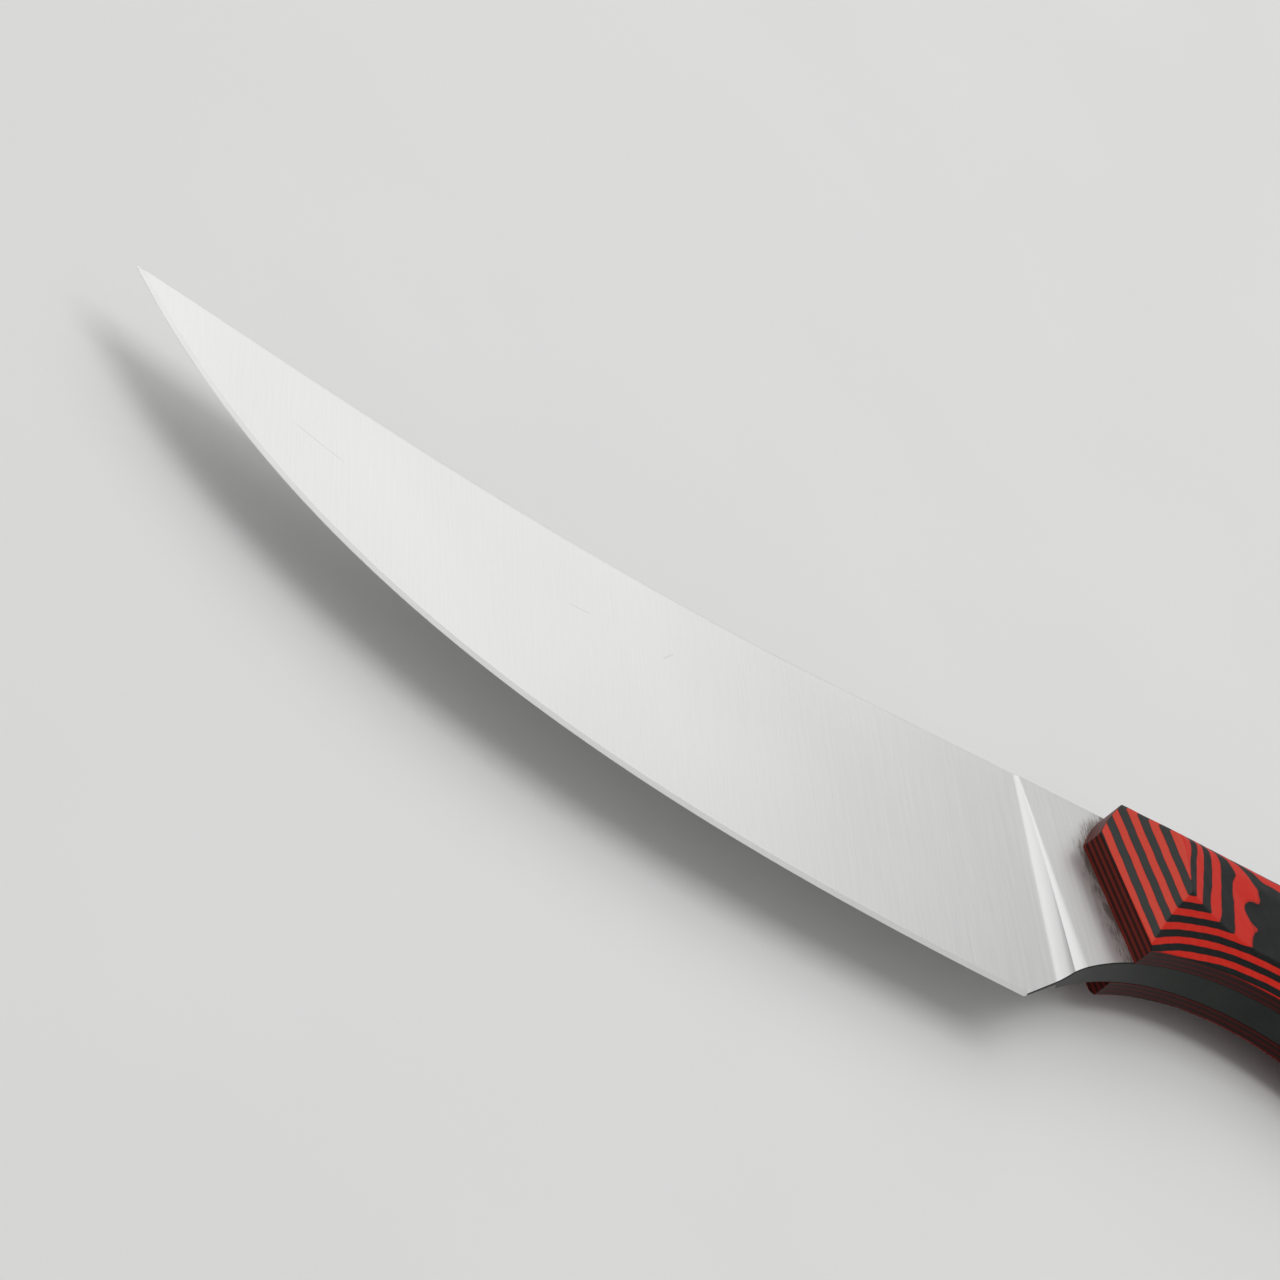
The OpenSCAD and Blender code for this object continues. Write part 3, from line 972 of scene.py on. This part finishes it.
def placeSheet(flatMesh, name, node, way):
    # a copy of the sheet on one side of the tang, in the frame's metres
    mesh = flatMesh.copy()
    mesh.name = name
    mesh.transform(Matrix.Translation((0, 0, halfSteel)))
    mesh.transform(Matrix.Diagonal((mm, mm, way * mm, 1)))
    mesh.transform(Matrix.Translation(knifeOrigin))
    if way < 0:
        mesh.flip_normals()
    isRed = node.endswith("red")
    mesh.materials.append(redFace if isRed else blackFace)
    piece = bpy.data.objects.new(name, mesh)
    bpy.context.scene.collection.objects.link(piece)
    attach(piece, "root")
    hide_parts(node)


def makeScales(shape):
    # one skin is bored, pressed and sawn, and each sheet of it serves both sides
    left, right = (sorted(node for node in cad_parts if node.startswith(start))
                   for start in ("left_ply", "right_ply"))
    count = len(left)
    flat = inKnife(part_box(left[-1])[1]).z - halfSteel
    sheet = flat / count
    mesh = boreSkin(shape, makeSkin(shape, Outline(bladeShape), flat))
    pressSkin(shape, mesh, count, sheet)
    skin = bmesh.new()
    skin.from_mesh(mesh)
    bmesh.ops.recalc_face_normals(skin, faces=skin.faces)
    for index, part in enumerate(sawSheets(skin, count, sheet)):
        flatMesh = sheetMesh(part, index, count, sheet)
        placeSheet(flatMesh, f"left_sheet_{index + 1:02d}", left[index], 1)
        placeSheet(flatMesh, f"right_sheet_{index + 1:02d}", right[index], -1)


makeScales(handleShape)
print("scales sanded and sawn into sheets")


for name in ("front_pin", "rear_pin"):
    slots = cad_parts[name].data.materials
    slots.clear()
    slots.append(pinFace)
print("pins dressed")


floorLook = {
    "seen": (0.80, 0.80, 0.795),
    "lit": (0.12, 0.12, 0.12),     # the colour that throws light back onto the knife
    "grain": (0.02, 0.02, 0.02),
    "roughness": 0.75,
    "size": 4.0,                   # metres
}
lamps = [                          # metres; only a mirrored lamp shows in the steel
    {
        "name": "back_softbox",
        "place": (0.108, 0.847, 0.849),
        "width": 1.48,
        "height": 0.83,
        "radiance": 0.58,
        "mirrored": True,
    },
    {
        "name": "overhead_panel",
        "place": (0.0, 0.0, 1.3),
        "width": 1.0,
        "height": 1.0,
        "radiance": 1.7,
        "mirrored": False,
    },
]
worldLook = {"colour": (1.0, 1.0, 1.0), "strength": 0.45}


def makeFloor(look):
    finish = Finish("floor")
    place = finish.parts(finish.place())
    grain = finish.noise(place, look["grain"], 3.0)
    rays = [finish.node("ShaderNodeLightPath", output=name)
            for name in ("Is Camera Ray", "Is Glossy Ray", "Is Transmission Ray")]
    seen = (rays[0] + rays[1] + rays[2]).least(1.0)
    colour = finish.mix(seen * (1 - grain * 0.06), look["lit"], look["seen"])
    material = finish.dress({"Base Color": colour, "Roughness": look["roughness"]})
    half = look["size"] / 2 / mm
    ground = -knifeOrigin.z / mm
    corners = [(-half, -half, ground), (half, -half, ground), (half, half, ground), (-half, half, ground)]
    floor = newPiece("floor", np.array(corners), [(0, 1, 2, 3)], (material,))


def makeLamp(look):
    # a panel that faces the frame's origin; its energy is radiance * 4 * width * height
    lamp = bpy.data.lights.new(look["name"], "AREA")
    lamp.shape = "RECTANGLE"
    lamp.size = look["width"]
    lamp.size_y = look["height"]
    lamp.energy = look["radiance"] * 4 * look["width"] * look["height"]
    holder = bpy.data.objects.new(look["name"], lamp)
    holder.location = look["place"]
    holder.rotation_mode = "QUATERNION"
    holder.rotation_quaternion = Vector(look["place"]).to_track_quat("Z", "Y")
    holder.visible_glossy = look["mirrored"]
    bpy.context.scene.collection.objects.link(holder)


def makeWorld(look):
    world = bpy.data.worlds.new("studio")
    world.use_nodes = True
    bpy.context.scene.world = world
    surround = world.node_tree.nodes["Background"]
    surround.inputs["Color"].default_value = (*look["colour"], 1.0)
    surround.inputs["Strength"].default_value = look["strength"]


makeFloor(floorLook)
for lamp in lamps:
    makeLamp(lamp)
makeWorld(worldLook)
bpy.context.scene.view_settings.view_transform = "Standard"
print("stage and lamps set")
